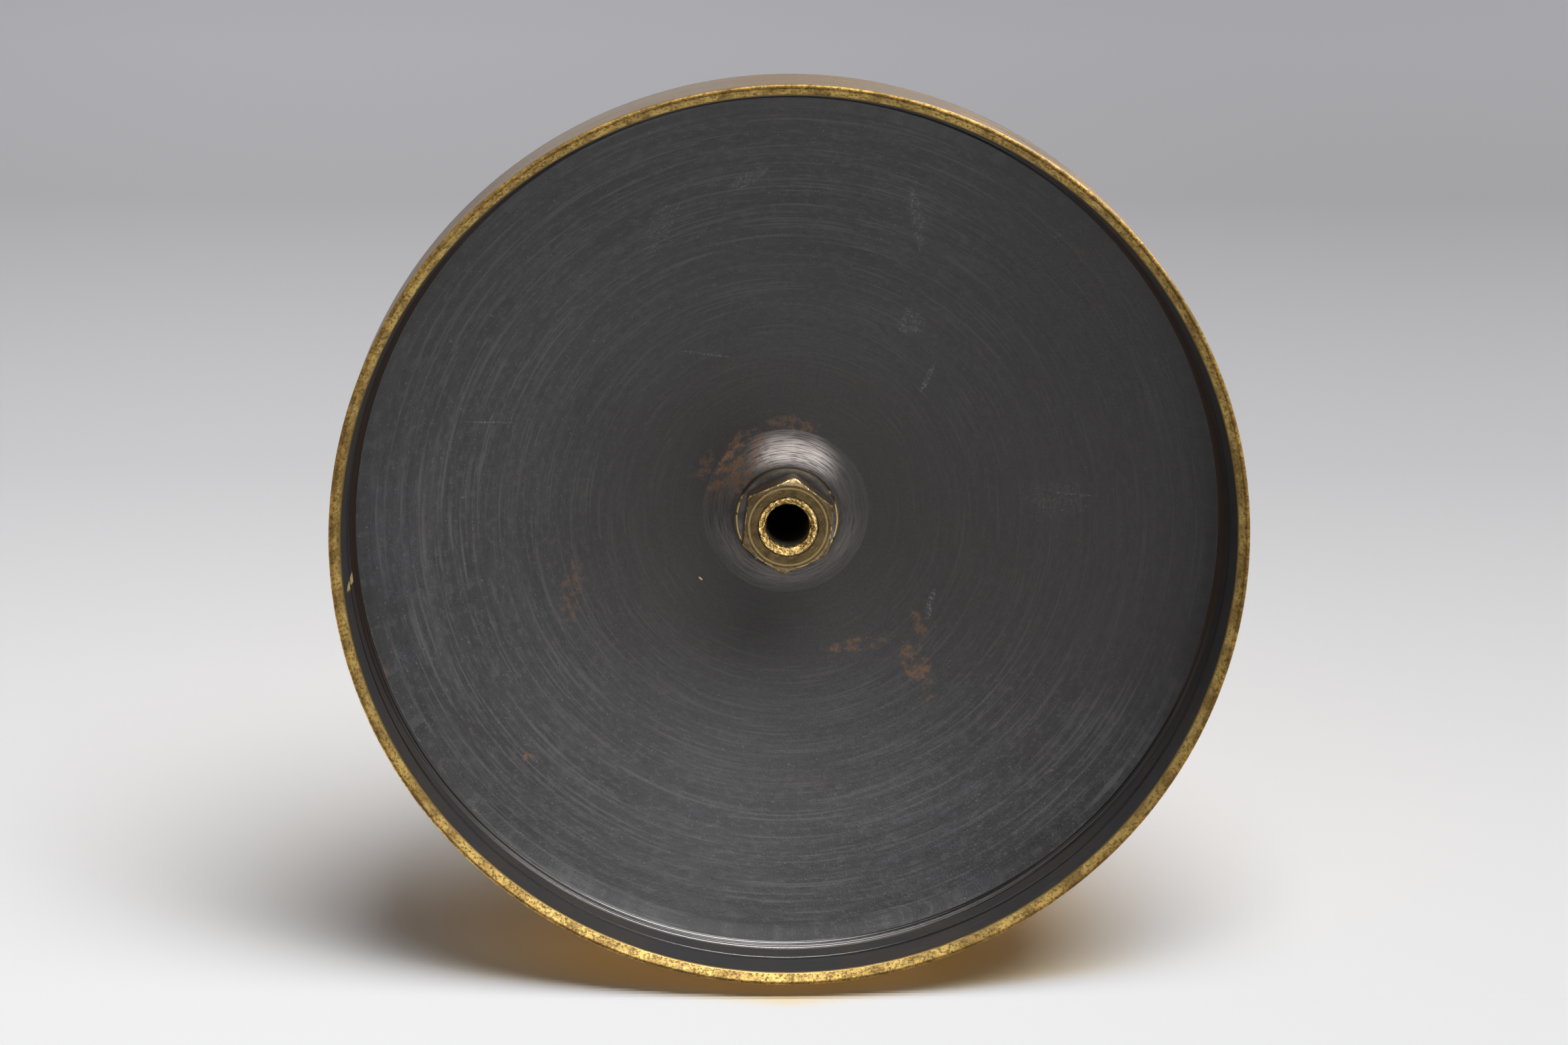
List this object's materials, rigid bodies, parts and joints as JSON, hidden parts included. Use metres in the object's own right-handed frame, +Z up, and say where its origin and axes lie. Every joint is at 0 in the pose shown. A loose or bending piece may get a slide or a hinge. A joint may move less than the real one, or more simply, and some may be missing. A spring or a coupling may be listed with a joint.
{
  "type": "candlestick",
  "caption": "Round-based turned candlestick with a baluster stem clamped by a central threaded tube, and a lift-off nozzle with a drip pan.",
  "frame": {"origin": "middle of the foot ring, on the surface that the base stands on", "axes": "+Z up along the stem; the object is turned about Z, so +X and +Y are free"},
  "size_m": [0.15, 0.15, 0.2848],
  "materials": {
    "base_brass": "polished outside, blackened hollow underneath",
    "stem_brass": "polished, lightly aged",
    "nozzle_brass": "polished",
    "fitting_brass": "dull, tarnished"
  },
  "bodies": {
    "stand": {"base": "base_brass", "base_washer": "fitting_brass", "base_nut": "fitting_brass", "tie_tube": "fitting_brass", "stem_foot": "stem_brass", "lower_knop": "stem_brass", "shaft": "stem_brass", "upper_knop": "stem_brass", "socket": "stem_brass", "socket_washer": "fitting_brass", "socket_nut": "fitting_brass"},
    "nozzle": {"nozzle": "nozzle_brass"}
  },
  "joints": [
    {"name": "nozzle_lift", "type": "slide", "parent": "stand", "child": "nozzle", "axis": [0, 0, 1], "range_m": [0, 0.045]}
  ]
}
